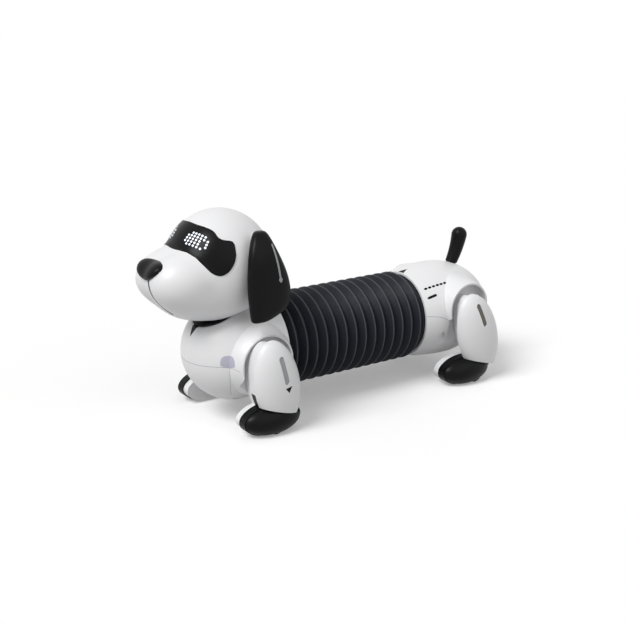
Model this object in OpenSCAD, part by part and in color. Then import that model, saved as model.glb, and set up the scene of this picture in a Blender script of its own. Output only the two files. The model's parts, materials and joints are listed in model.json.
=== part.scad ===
// Toy robot dachshund: white shells, black mask, ears and paws, ribbed bellows waist.
// Millimetres. +X is the nose, +Y the dog's left, +Z up, origin on the floor below the middle.

/* [Body] */
// Height of the long body axis above the floor
axis_z = 62; // [60:0.5:64]
// Radius of the round chest
chest_r = 45; // [44:0.25:46]
// Largest radius of the rump
rump_r = 46.5; // [45.5:0.25:47.5]
// Wall of every moulded shell
wall = 2.2; // [1.8:0.1:2.4]
// Number of ribs of the bellows
ribs = 14; // [10:1:18]
// Radius of a bellows ridge
ridge_r = 42.4; // [41.5:0.1:43]
// Radius of a bellows root
root_r = 36.8; // [36:0.1:38]

/* [Head] */
// Lean of the neck axis towards the nose, degrees
neck_tilt = 23.8; // [20:0.2:26]
// How far the mask stands out of the face
visor_out = 0.9; // [0.6:0.1:1.4]
// Thickness of an ear across the head
ear_t = 14; // [11:0.5:16]
// Diameter of one eye light
led_d = 2.1; // [1.4:0.1:2.3]

/* [Legs] */
// How far a leg cover bulges outwards
cover_bulge = 14; // [11:0.5:16]
// Radius of a paw roller
wheel_r = 8; // [7:0.25:9]
// Radius of a leg shaft
shaft_r = 3; // [2.5:0.1:3.5]
// Running gap round every turning pin
run_gap = 0.06; // [0.03:0.01:0.09]

/* [Tail] */
// Lean of the tail root towards the back, degrees
tail_tilt = 20; // [14:1:24]
// Length of the tail
tail_l = 34; // [26:1:40]

/* [Hidden] */
$fa = 6;
$fs = 1;
eps = 0.01;

// Stations along the body
chest_x = 104;
chest_rim_x = 71;
chest_rim_r = 43.5;
rump_rim_x = -86.5;
rump_x = -126.5;
rump_end_x = -187.5;
rump_fall = 84.8;
rim_l = 8;
rump_belly_z = 22;
belly_end_x = -97.2;
chest_part_z = 59;
rump_part_z = 64;
chest_c = [chest_x, 0, axis_z];

// Radius of the rump in front of its widest place, where it narrows towards the bellows
function rump_radius(x, o) = (rump_r - o) * sqrt(1 - pow((x - rump_x) / rump_fall, 2));

// Neck: every distance below is measured from the chest centre along the neck axis
neck_dir = [sin(neck_tilt), 0, cos(neck_tilt)];
seat_h = 38.5;
collar_t = 1.7;
collar_r = 21.2;
head_floor = 40.7;
post_r = 9;
bush_r = 12;
flange_r = 13;

// Head: rays start at head_c, which lies inside all four rounded masses
head_c = [131, 0, 133];
skull_c = [115, 0, 140];
lobe_c = [154, 13, 133];
chin_c = [140, 0, 120];
skull_size = [46.5, 45.5, 48];
lobe_size = [31.5, 24, 23.5];
chin_size = [34, 35, 24];
blend = 10;
seam_th = 111;
head_rows = 20;
back_rows = 10;
head_cols = 44;

// Mask outline as seen from the middle of the skull: [turn, lowest, highest] in degrees
visor_edge = [
    [0, 22.5, 55.2], [12, 22.5, 54.6], [24, 21.5, 53.4], [35, 17.5, 52.3], [45, 9.5, 50.3],
    [51, 4, 48], [55, 1.8, 45.5], [58, 0.8, 41.5], [61, 0.4, 39.3], [65, 1.2, 37.8],
    [70, 4.2, 37], [74, 9, 36.6], [77, 14.5, 35.6], [78.5, 21, 32]
];
visor_max = 78.5;
visor_cols = 36;
visor_rows = 8;

// Ear: heights of its ends, its front edge and its rearmost edge, and the pin it hangs from
ear_top_z = 174.5;
ear_low_z = 99.5;
ear_front_x = 118;
ear_rear_x = 77;
ear_gap = 1.4;
ear_pin = [99, 166];
ear_pin_r = 2;
ear_pin_end = 51;
ear_boss_y = 41.6;

// Legs, front then rear: [x, z] of each shaft, and the swelling of the body round it
hip = [[98, 60], [-132.5, 72.5]];
shoulder_r = 37;
shoulder_l = 69;
shoulder_y = 50;
thigh_y = 5;
thigh_r = 33.6;
thigh_taper = 0.229;
pocket_r = [24, 21.75];
pad_y = 41;
inner_y = 42;
core_y = 49.5;
cover_y = 58;
cover_size = [[22, 40], [23.5, 42.5]];
cover_tilt = [11, 18];
cover_dx = [-2.5, -3];
cover_dz = [-16, -25.5];
plate_size = [[18, 38], [15, 40]];
plate_dx = [3, -1.5];
split_z = [37, 44];
cover_foot = [[96, 21.5], [-131, 22]];
cover_foot_tilt = 16;
paw_size = [28.5, 14];
paw_x = [99.5, -123.5];
paw_z = 13;
paw_out = 13.5;
sole_z = 0.8;
wheel_w = 6;
wheel_y = 59;
axle_r = 1.5;

// Bellows and spine
cuff_l = 5;
cuff_r = rump_radius(rump_rim_x, wall) - 0.45;
skin = 1.6;
ridge_w = 1.2;
spine_x = -7.75;
spine_w = 12;
spine_h = 28;
pin_r = 2.5;
disc_t = 3;
disc_gap = 0.1;
front_disc_r = chest_rim_r - wall - disc_gap;
rear_disc_r = rump_radius(rump_rim_x, wall) - 4 * disc_gap;
stop_w = 2.5;

// Screws: [x, y of the pair, height of the head's seat]
chest_screw = [[113, 20, 34]];
rump_screw = [[-106, 40.5, 52], [-163, 16, 40]];
screw_head_r = 2.9;
screw_head_h = 2.2;
screw_r = 1.25;
screw_grip = 9;

white = [0.93, 0.93, 0.92];
black = [0.08, 0.08, 0.09];
grey = [0.45, 0.46, 0.48];
steel = [0.7, 0.71, 0.73];
green = [0.1, 0.35, 0.2];
slate = [0.2, 0.22, 0.27];

// Helpers

function unit(v) = v / norm(v);

// Box from its lowest corner to its highest
module span(a, b) {
    translate(a) cube(b - a);
}

// Cylinder along +Y between two depths
module rod_y(x, z, y0, y1, r) {
    translate([x, y0, z]) rotate([-90, 0, 0]) cylinder(h = y1 - y0, r = r);
}

// Same part on the left and on the right
module both_sides() {
    children();
    mirror([0, 1, 0]) children();
}

// Frame whose +Z is the neck axis and whose origin is the chest centre
module on_neck(h = 0) {
    translate(chest_c) rotate([0, neck_tilt, 0]) translate([0, 0, h]) children();
}

// Round body drawn in [radius, x] and turned about the long axis
module about_axis() {
    translate([0, 0, axis_z]) rotate([0, 90, 0]) rotate_extrude() children();
}

// Triangles of a grid of n rows by m columns, first point number b, closed round if wrap
function grid_faces(n, m, b, flip, wrap) = [
    for (i = [0 : n - 2]) for (j = [0 : (wrap ? m : m - 1) - 1])
        let (p = b + i * m + j, q = b + i * m + (j + 1) % m, r = q + m, s = p + m)
        for (t = [[p, q, r], [p, r, s]]) flip ? [t[2], t[1], t[0]] : t
];

// Triangles from one centre point to a ring of m points
function fan(c, b, m, flip) = [
    for (j = [0 : m - 1]) flip ? [c, b + (j + 1) % m, b + j] : [c, b + j, b + (j + 1) % m]
];

// Head surface

// Distance from head_c along d to an ellipsoid with middle c and half sizes s
function reach(d, c, s) =
    let (q = [d.x / s.x, d.y / s.y, d.z / s.z], o = head_c - c,
         p = [o.x / s.x, o.y / s.y, o.z / s.z], a = q * q, b = q * p, k = p * p - 1)
    (sqrt(b * b - a * k) - b) / a;

// Skull, two lobes and chin melted together, then cut flat above the collar; t goes inwards
function head_reach(d, t = 0) =
    let (w = [t, t, t], other = [lobe_c.x, -lobe_c.y, lobe_c.z],
         r = pow(pow(reach(d, skull_c, skull_size - w), blend)
               + pow(reach(d, lobe_c, lobe_size - w), blend)
               + pow(reach(d, other, lobe_size - w), blend)
               + pow(reach(d, chin_c, chin_size - w), blend), 1 / blend),
         drop = -(d * neck_dir), h = (head_c - chest_c) * neck_dir - head_floor - t)
    drop > 0.01 ? min(r, h / drop) : r;

function head_point(d, t = 0) = head_c + d * head_reach(d, t);

// Direction at th degrees from the nose and ph degrees round it
function polar(th, ph) = [cos(th), sin(th) * sin(ph), sin(th) * cos(ph)];

// Head point seen from the skull's middle at a turn az and a height el, moved out by up
function face_point(az, el, up = 0) =
    let (look = [cos(el) * cos(az), cos(el) * sin(az), sin(el)],
         d = unit(skull_c + 46 * look - head_c))
    head_c + d * (head_reach(d) + up);

// Cap of the head between the pole at th0 and the seam, with a wall
module head_cap(th0, rows) {
    m = head_cols;
    turn = [for (i = [1 : rows]) th0 + (seam_th - th0) * i / rows];
    skin_pts = [for (th = turn) for (j = [0 : m - 1]) head_point(polar(th, 360 * j / m))];
    core_pts = [for (th = turn) for (j = [0 : m - 1]) head_point(polar(th, 360 * j / m), wall)];
    pole = polar(th0, 0);
    n = rows * m;
    front = th0 < seam_th;
    points = concat([head_point(pole)], skin_pts, [head_point(pole, wall)], core_pts);
    faces = concat(
        fan(0, 1, m, front), grid_faces(rows, m, 1, front, true),
        fan(n + 1, n + 2, m, !front), grid_faces(rows, m, n + 2, !front, true),
        [for (j = [0 : m - 1]) let (p = 1 + n - m + j, q = 1 + n - m + (j + 1) % m)
            for (t = [[p, q, q + n + 1], [p, q + n + 1, p + n + 1]])
                front ? [t[2], t[1], t[0]] : t]);
    polyhedron(points, faces, convexity = 6);
}

// Plate that lies on the head: outer and inner grids of rows by cols, closed round the edge
module skin_plate(outer, inner, rows, cols) {
    n = rows * cols;
    rim = concat(
        [for (j = [0 : cols - 1]) j], [for (i = [1 : rows - 1]) i * cols + cols - 1],
        [for (j = [cols - 2 : -1 : 0]) (rows - 1) * cols + j],
        [for (i = [rows - 2 : -1 : 1]) i * cols]);
    k = len(rim);
    faces = concat(
        grid_faces(rows, cols, 0, true, false), grid_faces(rows, cols, n, false, false),
        [for (i = [0 : k - 1]) let (p = rim[i], q = rim[(i + 1) % k])
            for (t = [[p, q, q + n], [p, q + n, p + n]]) t]);
    polyhedron(concat(outer, inner), faces, convexity = 6);
}

// Head pieces

module face_shell() {
    color(white) difference() {
        head_cap(0, head_rows);
        on_neck(head_floor - 1) cylinder(h = 8, r = post_r + 1);
    }
}

module head_back_shell() {
    color(white) difference() {
        union() {
            head_cap(180, back_rows);
            both_sides() rod_y(ear_pin.x, ear_pin[1], 27, ear_boss_y, 5);
        }
        on_neck(head_floor - 1) cylinder(h = 8, r = post_r + 1);
        both_sides() rod_y(ear_pin.x, ear_pin[1], 26, ear_boss_y + 1, ear_pin_r);
    }
}

function visor_low(az) = lookup(abs(az), [for (e = visor_edge) [e[0], e[1]]]);
function visor_high(az) = lookup(abs(az), [for (e = visor_edge) [e[0], e[2]]]);

function visor_grid(up) = [
    for (i = [0 : visor_rows]) for (j = [0 : visor_cols])
        let (az = visor_max * (2 * j / visor_cols - 1),
             el = visor_low(az) + (visor_high(az) - visor_low(az)) * i / visor_rows)
        face_point(az, el, up)
];

module visor() {
    color(black)
        skin_plate(visor_grid(visor_out), visor_grid(-0.3), visor_rows + 1, visor_cols + 1);
}

// Lights of the left eye: seven columns by five rows without the corners and a sparkle gap
module eye_leds() {
    gaps = [[0, 0], [6, 0], [5, 2], [5, 3], [0, 4], [6, 4]];
    color([0.95, 0.96, 1])
        for (c = [0 : 6]) for (r = [0 : 4])
            if (len([for (g = gaps) if (g == [c, r]) 1]) == 0) {
                az = 19.3 + 4.8 * c - 1.15 * r;
                el = 43.9 - 3.05 * r - 0.15 * c * c - 0.05 * c;
                p = face_point(az, el, -0.6);
                translate(p) rotate([0, 90 - el, az])
                    cylinder(h = visor_out + 0.95, d = led_d, $fn = 24);
            }
}

module left_eye_leds() {
    eye_leds();
}

module right_eye_leds() {
    mirror([0, 1, 0]) eye_leds();
}

// Rounded triangle on the tip of the muzzle, thickest in the middle
nose_az = 19;
nose_low = 3;
nose_high = 23;
nose_out = 4.6;
nose_n = 12;

function nose_grid(lift) = [
    for (i = [0 : nose_n]) for (j = [0 : nose_n])
        let (u = 2 * j / nose_n - 1, v = 2 * i / nose_n - 1,
             s = u * sqrt(1 - v * v / 2), t = v * sqrt(1 - u * u / 2),
             az = nose_az * s * (1 + 0.36 * t),
             el = (nose_low + nose_high + (nose_high - nose_low) * t) / 2,
             d = [cos(el) * cos(az), cos(el) * sin(az), sin(el)],
             rise = nose_out * sqrt(max(0, 1 - pow(s * s + t * t, 1.4))))
        head_c + d * (head_reach(d) + (lift > 0 ? 0.4 + rise : -0.3))
];

module nose() {
    color(black) skin_plate(nose_grid(1), nose_grid(0), nose_n + 1, nose_n + 1);
}

// Ear flap: rounded level slices from top to bottom that lean in along the skull
ear_rows = 18;
ear_cols = 22;
ear_high_x = 99;

// Inner side of the ear at a height z
function ear_in(z) =
    let (h = max(z - skull_c.z - 5, 0))
    skull_size.y * sqrt(1 - pow(h / skull_size.z, 2)) + ear_gap;

function ear_mid(z, front, rear) =
    [(front + rear) / 2 + 0.71 * (ear_in(z) - ear_in(0)), ear_in(z) + ear_t / 2, z];

function ear_rear(q) =
    ear_high_x - (ear_high_x - ear_rear_x) * sin(106 * q) + 18 * pow(max(0, 5 * q - 4), 2);

function ear_ring(i) =
    let (a = 180 * i / ear_rows, q = (1 - cos(a)) / 2, s = pow(sin(a), 0.42),
         z = ear_top_z - (ear_top_z - ear_low_z) * q,
         front = ear_front_x + sin(180 * q) + 5 * pow(q, 5), rear = ear_rear(q),
         half = (front - rear) / 2 * s, thick = ear_t / 2 * s)
    [for (j = [0 : ear_cols - 1])
        let (c = cos(360 * j / ear_cols), g = sin(360 * j / ear_cols))
        ear_mid(z, front, rear)
            + [half * sign(c) * pow(abs(c), 0.8), thick * sign(g) * pow(abs(g), 0.8), 0]];

module ear() {
    m = ear_cols;
    rings = [for (i = [1 : ear_rows - 1]) each ear_ring(i)];
    last = len(rings) + 1;
    top = ear_mid(ear_top_z, ear_front_x, ear_rear(0));
    low = ear_mid(ear_low_z, ear_front_x, ear_rear(1));
    color(black) difference() {
        polyhedron(concat([top], rings, [low]), concat(
            fan(0, 1, m, false), grid_faces(ear_rows - 1, m, 1, false, true),
            fan(last, last - m, m, true)), convexity = 4);
        rod_y(ear_pin.x, ear_pin[1], 30, ear_pin_end + 0.5, ear_pin_r + run_gap);
    }
}

module left_ear() {
    ear();
}

module right_ear() {
    mirror([0, 1, 0]) ear();
}

module ear_pins() {
    color(steel) both_sides() rod_y(ear_pin.x, ear_pin[1], 28, ear_pin_end, ear_pin_r);
}

module neck_post() {
    color(black) on_neck() difference() {
        union() {
            translate([0, 0, 19]) cylinder(h = head_floor + wall - 19, r = post_r);
            translate([0, 0, head_floor + wall]) cylinder(h = 3, r = flange_r);
        }
        translate([0, 0, 18]) cylinder(h = 40, r = 5);
    }
}

module head_board() {
    color(green) on_neck(head_floor + wall + 3) translate([-13, -15, 0]) cube([26, 30, 1.6]);
}

// Chest

// Round chest with its straight rim; o is an inward offset, back lengthens the open end
module chest_form(o, back) {
    about_axis() union() {
        translate([0, chest_x]) intersection() {
            circle(chest_r - o);
            square(chest_r);
        }
        polygon([
            [0, chest_rim_x - back], [chest_rim_r - o, chest_rim_x - back],
            [chest_rim_r - o, chest_rim_x + rim_l], [chest_r - o, chest_x], [0, chest_x]
        ]);
    }
}

// Swelling of the chest round a front leg shaft: an egg cut off flat; o is an inward offset
module front_shoulder(o, end) {
    translate([hip[0][0], 0, hip[0][1]]) rotate([-90, 0, 0]) rotate_extrude() intersection() {
        scale([1, shoulder_l / shoulder_r]) circle(shoulder_r - o);
        square([100, end]);
    }
}

// Swelling of the rump round a rear leg shaft: a cone cut off flat
module rear_shoulder(o, end) {
    translate([hip[1][0], thigh_y, hip[1][1]]) rotate([-90, 0, 0])
        cylinder(h = end - thigh_y, r1 = thigh_r - o,
                 r2 = thigh_r - o - (end - thigh_y) * thigh_taper);
}

// Arched recess, open below, in which a leg swings; o makes it larger
module leg_pocket(k, o = 0) {
    r = pocket_r[k] + o;
    translate([hip[k][0], pad_y - o, hip[k][1]]) rotate([-90, 0, 0]) linear_extrude(30) {
        circle(r);
        translate([-r, 0]) square([2 * r, 80]);
    }
}

// Post between two shells for one screw
module screw_post(s, z0, z1, r) {
    both_sides() translate([s[0], s[1], z0]) cylinder(h = z1 - z0, r = r);
}

module above_neck_seat(h) {
    on_neck(h) translate([-60, -60, 0]) cube([120, 120, 60]);
}

// Whole chest wall before it is parted
module chest_wall() {
    difference() {
        union() {
            difference() {
                chest_form(0, 0);
                above_neck_seat(seat_h);
            }
            both_sides() intersection() {
                front_shoulder(0, shoulder_y);
                span([chest_rim_x, -1, 0], [200, 100, 120]);
            }
        }
        both_sides() leg_pocket(0);
        difference() {
            union() {
                chest_form(wall, 1);
                both_sides() front_shoulder(wall, pad_y - wall);
            }
            both_sides() leg_pocket(0, wall);
            above_neck_seat(seat_h - wall);
            about_axis() translate([front_disc_r - stop_w, chest_rim_x + disc_t + 2])
                square([10, 2]);
        }
        both_sides() rod_y(hip[0][0], hip[0][1], pad_y - 5, pad_y + 5, shaft_r + 0.6);
    }
}

// Three-sided window in the chest below the collar
module chest_window_prism() {
    translate([134.5, 0, 0]) rotate([90, 0, 90]) linear_extrude(30)
        polygon([[-5.5, 92], [5.5, 92], [0, 80]]);
}

module chest_upper_shell() {
    color(white) difference() {
        union() {
            intersection() {
                chest_wall();
                span([0, -80, chest_part_z], [200, 80, 160]);
            }
            difference() {
                intersection() {
                    for (s = chest_screw) screw_post(s, chest_part_z, 120, 4.2);
                    chest_form(wall / 2, 0);
                }
                above_neck_seat(seat_h - wall / 2);
            }
        }
        on_neck(20) cylinder(h = 30, r = bush_r + disc_gap);
        for (s = chest_screw) screw_post(s, chest_part_z - 1, chest_part_z + screw_grip, screw_r);
        chest_window_prism();
    }
}

battery_box = [[87, -14, 23], [109, 14, 36]];
door_box = [[86, -15, 0], [110, 15, 30]];

module chest_lower_shell() {
    color(white) difference() {
        union() {
            intersection() {
                chest_wall();
                span([0, -80, 0], [200, 80, chest_part_z]);
            }
            intersection() {
                for (s = chest_screw) screw_post(s, 0, chest_part_z, 5.2);
                chest_form(wall / 2, 0);
            }
        }
        for (s = chest_screw) {
            screw_post(s, 0, s[2], 3.2);
            screw_post(s, 0, chest_part_z + 1, screw_r + 0.25);
        }
        span(door_box[0], door_box[1]);
    }
}

module chest_window() {
    color(black) intersection() {
        chest_wall();
        chest_window_prism();
    }
}

module neck_collar() {
    color(black) on_neck(seat_h) difference() {
        cylinder(h = collar_t, r = collar_r);
        translate([0, 0, -1]) cylinder(h = 10, r = 14);
    }
}

module neck_bush() {
    color(grey) on_neck() difference() {
        union() {
            translate([0, 0, 18]) cylinder(h = seat_h + 1 - 18, r = bush_r);
            translate([0, 0, seat_h - wall - 3]) cylinder(h = 3, r = 15);
        }
        translate([0, 0, 17]) cylinder(h = 30, r = post_r + run_gap);
    }
}

// Gear motor that turns a leg shaft, with a mounting ear at each end
module servo(k) {
    x = hip[k][0];
    z = hip[k][1];
    y0 = 17;
    y1 = pad_y - wall;
    color(grey) difference() {
        union() {
            span([x - 12, y0, z - 15], [x + 6.5, y1 - 3, z + 15]);
            span([x - 12, y1 - 3, z - 19], [x + 6.5, y1, z + 19]);
        }
        rod_y(x, z, y0 + 4, y1 + 1, shaft_r + run_gap);
        for (e = [-17, 17]) rod_y(x - 3, z + e, y1 - 5, y1 + 1, 1);
    }
}

module front_left_servo() {
    servo(0);
}

module front_right_servo() {
    mirror([0, 1, 0]) servo(0);
}

module battery_pack() {
    color([0.2, 0.4, 0.7]) span(battery_box[0], battery_box[1]);
}

// Belly door with two ribs that bear on the battery
module battery_door() {
    gap = 0.25;
    g = [gap, gap, 0];
    color(white) {
        intersection() {
            difference() {
                chest_form(0, 0);
                chest_form(wall, 1);
            }
            span(door_box[0] + g, door_box[1] - g);
        }
        for (y = [-8, 8]) intersection() {
            chest_form(wall / 2, 0);
            span([88, y - 0.8, 0], [108, y + 0.8, battery_box[0].z]);
        }
    }
}

module main_board() {
    color(green) {
        span([82, -0.8, battery_box[1].z], [106, 0.8, 72]);
        span([87, 0.8, 44], [97, 3, 54]);
        span([85, 0.8, 60], [91, 3.4, 66]);
    }
}

// Self-tapping screws driven from below
module screws(list, part_z) {
    color(steel) for (s = list) both_sides() translate([s[0], s[1], s[2]]) difference() {
        union() {
            translate([0, 0, -screw_head_h]) cylinder(h = screw_head_h, r = screw_head_r);
            cylinder(h = part_z + screw_grip - 1 - s[2], r = screw_r);
        }
        for (a = [0, 90]) rotate([0, 0, a]) translate([-2, -0.4, -screw_head_h - 1])
            cube([4, 0.8, 1.9]);
    }
}

module chest_screws() {
    screws(chest_screw, chest_part_z);
}

// Spine and bellows

// Disc and tube that carry one end of the bellows; the tube points along +X
module end_disc(r) {
    rotate([0, 90, 0]) difference() {
        union() {
            cylinder(h = disc_t, r = r);
            translate([0, 0, disc_t - eps]) cylinder(h = cuff_l - skin, r = cuff_r - skin - disc_gap);
        }
        translate([0, 0, disc_t]) cylinder(h = 20, r = cuff_r - skin - 3);
        for (a = [0, 180]) rotate([0, 0, a]) translate([20, 0, -1]) cylinder(h = 20, r = 6);
    }
}

front_disc_x = chest_rim_x + 2;
rear_disc_x = rump_rim_x - 2;
knuckle_h = spine_h / 2 - 1;

// Front half of the spine: disc, beam and a two-eared knuckle
module front_frame() {
    r = spine_w / 2 + 2;
    color(slate) difference() {
        union() {
            translate([front_disc_x + disc_t, 0, axis_z]) mirror([1, 0, 0])
                end_disc(front_disc_r);
            span([spine_x, -spine_w / 2, axis_z - spine_h / 2],
                 [front_disc_x + 1, spine_w / 2, axis_z + spine_h / 2]);
            translate([spine_x, 0, axis_z - spine_h / 2]) cylinder(h = spine_h, r = r);
        }
        translate([spine_x, 0, axis_z - knuckle_h / 2]) cylinder(h = knuckle_h, r = r + 4);
        translate([spine_x, 0, 0]) cylinder(h = 120, r = pin_r);
        // flats beside the walls of the leg recesses
        both_sides() span([front_disc_x - 1, pad_y - wall - disc_gap, 0],
                          [front_disc_x + disc_t + 1, 60, 130]);
    }
}

module rear_frame() {
    r = spine_w / 2 + 2;
    h = knuckle_h - 0.8;
    color(slate) difference() {
        union() {
            translate([rear_disc_x - disc_t, 0, axis_z]) end_disc(rear_disc_r);
            span([rear_disc_x - 1, -spine_w / 2, axis_z - spine_h / 2],
                 [spine_x - r - 6, spine_w / 2, axis_z + spine_h / 2]);
            span([rear_disc_x, -spine_w / 2, axis_z - h / 2],
                 [spine_x, spine_w / 2, axis_z + h / 2]);
            translate([spine_x, 0, axis_z - h / 2]) cylinder(h = h, r = r);
        }
        translate([spine_x, 0, 0]) cylinder(h = 120, r = pin_r + run_gap);
    }
}

module spine_pin() {
    color(steel) translate([spine_x, 0, axis_z - spine_h / 2 - 1]) {
        cylinder(h = spine_h + 2, r = pin_r);
        cylinder(h = 1, r = pin_r + 1.5);
    }
}

// One soft tube of V-shaped ribs, with a plain cuff at each end and a bore right through
rib_x0 = front_disc_x - cuff_l;
rib_x1 = rear_disc_x + cuff_l;
pitch = (rib_x0 - rib_x1) / ribs;

function rib_line(o) = [
    for (i = [0 : ribs - 1])
        let (x = rib_x0 - i * pitch)
        each [[root_r - o, x], [ridge_r - o, x - (pitch - ridge_w) / 2],
              [ridge_r - o, x - (pitch + ridge_w) / 2]]
];

module bellows() {
    color(slate) about_axis() polygon(concat(
        [[cuff_r, front_disc_x], [cuff_r, rib_x0]], rib_line(0),
        [[root_r, rib_x1], [cuff_r, rib_x1], [cuff_r, rear_disc_x], [cuff_r - skin, rear_disc_x],
         [cuff_r - skin, rib_x1 - skin], [root_r - skin, rib_x1 - skin], [root_r - skin, rib_x1]],
        [for (i = [len(rib_line(skin)) - 1 : -1 : 1]) rib_line(skin)[i]],
        [[root_r - skin, rib_x0], [root_r - skin, rib_x0 + skin], [cuff_r - skin, rib_x0 + skin],
         [cuff_r - skin, front_disc_x]]));
}

// Rump

// Egg-ended rump that narrows towards the bellows; front lengthens the open end
module rump_form(o, front) {
    back_l = rump_x - rump_end_x - o;
    about_axis() translate([0, rump_x]) union() {
        intersection() {
            scale([1, back_l / (rump_r - o)]) circle(rump_r - o);
            translate([0, -100]) square(100);
        }
        intersection() {
            scale([1, rump_fall / (rump_r - o)]) circle(rump_r - o);
            square([100, rump_rim_x - rump_x + front]);
        }
    }
}

tail_dir = [-sin(tail_tilt), 0, cos(tail_tilt)];
tail_root = [-152, 0, axis_z + 42.3];
root_len = 14;
tail_root_r = 5;

module on_tail(h = 0) {
    translate(tail_root) rotate([0, -tail_tilt, 0]) translate([0, 0, h]) children();
}

// Everything under the flat belly, as far forward as x
module below_belly(z, x) {
    span([-250, -100, z - 100], [x, 100, z]);
}

module rump_wall() {
    difference() {
        union() {
            difference() {
                rump_form(0, 0);
                below_belly(rump_belly_z, belly_end_x);
            }
            both_sides() rear_shoulder(0, shoulder_y);
        }
        both_sides() leg_pocket(1);
        difference() {
            union() {
                rump_form(wall, 1);
                both_sides() rear_shoulder(wall, pad_y - wall);
            }
            both_sides() leg_pocket(1, wall);
            below_belly(rump_belly_z + wall, belly_end_x + wall);
            about_axis() translate([rear_disc_r - stop_w, rump_rim_x - disc_t - 4])
                square([10, 2]);
        }
        both_sides() rod_y(hip[1][0], hip[1][1], pad_y - 5, pad_y + 5, shaft_r + 0.6);
    }
}

// Three-sided window on top of the rump, by the bellows
module rump_window_prism() {
    translate([0, 0, 90]) linear_extrude(40)
        polygon([[rump_rim_x - 0.8, -4], [rump_rim_x - 0.8, 4], [rump_rim_x - 9, 0]]);
}

module rump_upper_shell() {
    color(white) difference() {
        union() {
            intersection() {
                rump_wall();
                span([-220, -80, rump_part_z], [0, 80, 160]);
            }
            intersection() {
                union() {
                    for (s = rump_screw) screw_post(s, rump_part_z, 120, 4.2);
                    on_tail(-root_len - 2) cylinder(h = root_len + 2, r = 8);
                }
                rump_form(wall / 2, 0);
            }
        }
        for (s = rump_screw) screw_post(s, rump_part_z - 1, rump_part_z + screw_grip, screw_r);
        on_tail(-root_len - 0.5) cylinder(h = root_len + 5, r = tail_root_r + run_gap);
        rump_window_prism();
    }
}

switch_x = -115;
switch_travel = 4;
socket_x = -101;
speaker_x = -143;

module rump_lower_shell() {
    floor_z = rump_belly_z;
    color(white) difference() {
        union() {
            intersection() {
                rump_wall();
                span([-220, -80, 0], [0, 80, rump_part_z]);
            }
            intersection() {
                for (s = rump_screw) screw_post(s, 0, rump_part_z, 4.6);
                rump_form(wall / 2, 0);
            }
        }
        for (s = rump_screw) {
            screw_post(s, 0, s[2], 3.2);
            screw_post(s, 0, rump_part_z + 1, screw_r + 0.25);
        }
        span([switch_x - 4.6, -2.3, floor_z - 5], [switch_x + 4.6, 2.3, floor_z + 5]);
        span([socket_x - 1.8, -4.7, floor_z - 5], [socket_x + 1.8, 4.7, floor_z + 5]);
        for (a = [0 : 60 : 300]) translate([speaker_x + 6 * cos(a), 6 * sin(a), floor_z - 5])
            cylinder(h = 10, r = 1.2);
        translate([speaker_x, 0, floor_z - 5]) cylinder(h = 10, r = 1.2);
    }
}

module rump_window() {
    color(black) intersection() {
        rump_wall();
        rump_window_prism();
    }
}

module rear_left_servo() {
    servo(1);
}

module rear_right_servo() {
    mirror([0, 1, 0]) servo(1);
}

module speaker() {
    z = rump_belly_z + wall;
    color(grey) translate([speaker_x, 0, z]) difference() {
        union() {
            cylinder(h = 4, r = 13);
            translate([0, 0, 4]) cylinder(h = 3, r = 7);
        }
        translate([0, 0, -1]) cylinder(h = 3, r1 = 12, r2 = 6);
    }
}

module switch_case() {
    z = rump_belly_z + wall;
    color(grey) difference() {
        span([switch_x - 7, -4, z], [switch_x + 7, 4, z + 6]);
        span([switch_x - 5.6, -2.6, z - 1], [switch_x + 5.6, 2.6, z + 3]);
    }
}

// Sliding knob of the power switch, shown at its rear end
module power_switch() {
    z = rump_belly_z;
    x0 = switch_x - 4.2;
    color(black) {
        span([x0, -1.9, z - 0.6], [x0 + 4.4, 1.9, z + wall + 0.4]);
        span([x0 - 1, -2.2, z + wall + 0.4], [x0 + 5.4, 2.2, z + wall + 2.4]);
    }
}

module charge_socket() {
    z = rump_belly_z;
    color(steel) difference() {
        union() {
            span([socket_x - 1.6, -4.5, z + 0.3], [socket_x + 1.6, 4.5, z + wall]);
            span([socket_x - 3.2, -6, z + wall], [socket_x + 3.2, 6, z + wall + 5]);
        }
        span([socket_x - 1.1, -4, z - 1], [socket_x + 1.1, 4, z + wall + 4]);
    }
}

module rump_screws() {
    screws(rump_screw, rump_part_z);
}

// Tail: round slices along a bent line, swelling towards the rounded tip
tail_rows = 16;
tail_cols = 20;

tail_bend = tail_root + [-7.5, 0, 13.5];
tail_tip = tail_root + [-10, 0, tail_l - 7];

function tail_mid(t) = pow(1 - t, 2) * tail_root + 2 * t * (1 - t) * tail_bend + t * t * tail_tip;
function tail_way(t) =
    t == 0 ? tail_dir : unit((1 - t) * (tail_bend - tail_root) + t * (tail_tip - tail_bend));

function tail_ring(t, r, ahead) =
    let (d = tail_way(t), side = [d.z, 0, -d.x], c = tail_mid(t) + d * ahead)
    [for (j = [0 : tail_cols - 1])
        c + r * (cos(360 * j / tail_cols) * side + sin(360 * j / tail_cols) * [0, 1, 0])];

module tail() {
    m = tail_cols;
    tip_r = 7.7;
    body = [for (i = [0 : tail_rows]) each tail_ring(i / tail_rows, 5.8 + 1.9 * i / tail_rows,
        i == 0 ? 0.6 : 0)];
    tip = [for (a = [15 : 15 : 75]) each tail_ring(1, tip_r * cos(a), tip_r * sin(a))];
    start = tail_mid(0) + 0.6 * tail_way(0);
    end = tail_mid(1) + tip_r * tail_way(1);
    rings = concat(body, tip);
    last = len(rings) + 1;
    color(black) {
        polyhedron(concat([start], rings, [end]), concat(
            fan(0, 1, m, true), grid_faces(len(rings) / m, m, 1, true, true),
            fan(last, last - m, m, false)), convexity = 4);
        on_tail(-root_len) cylinder(h = root_len + 3, r = tail_root_r);
    }
}

// Legs: k is 0 in front and 1 behind, drawn on the left

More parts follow.
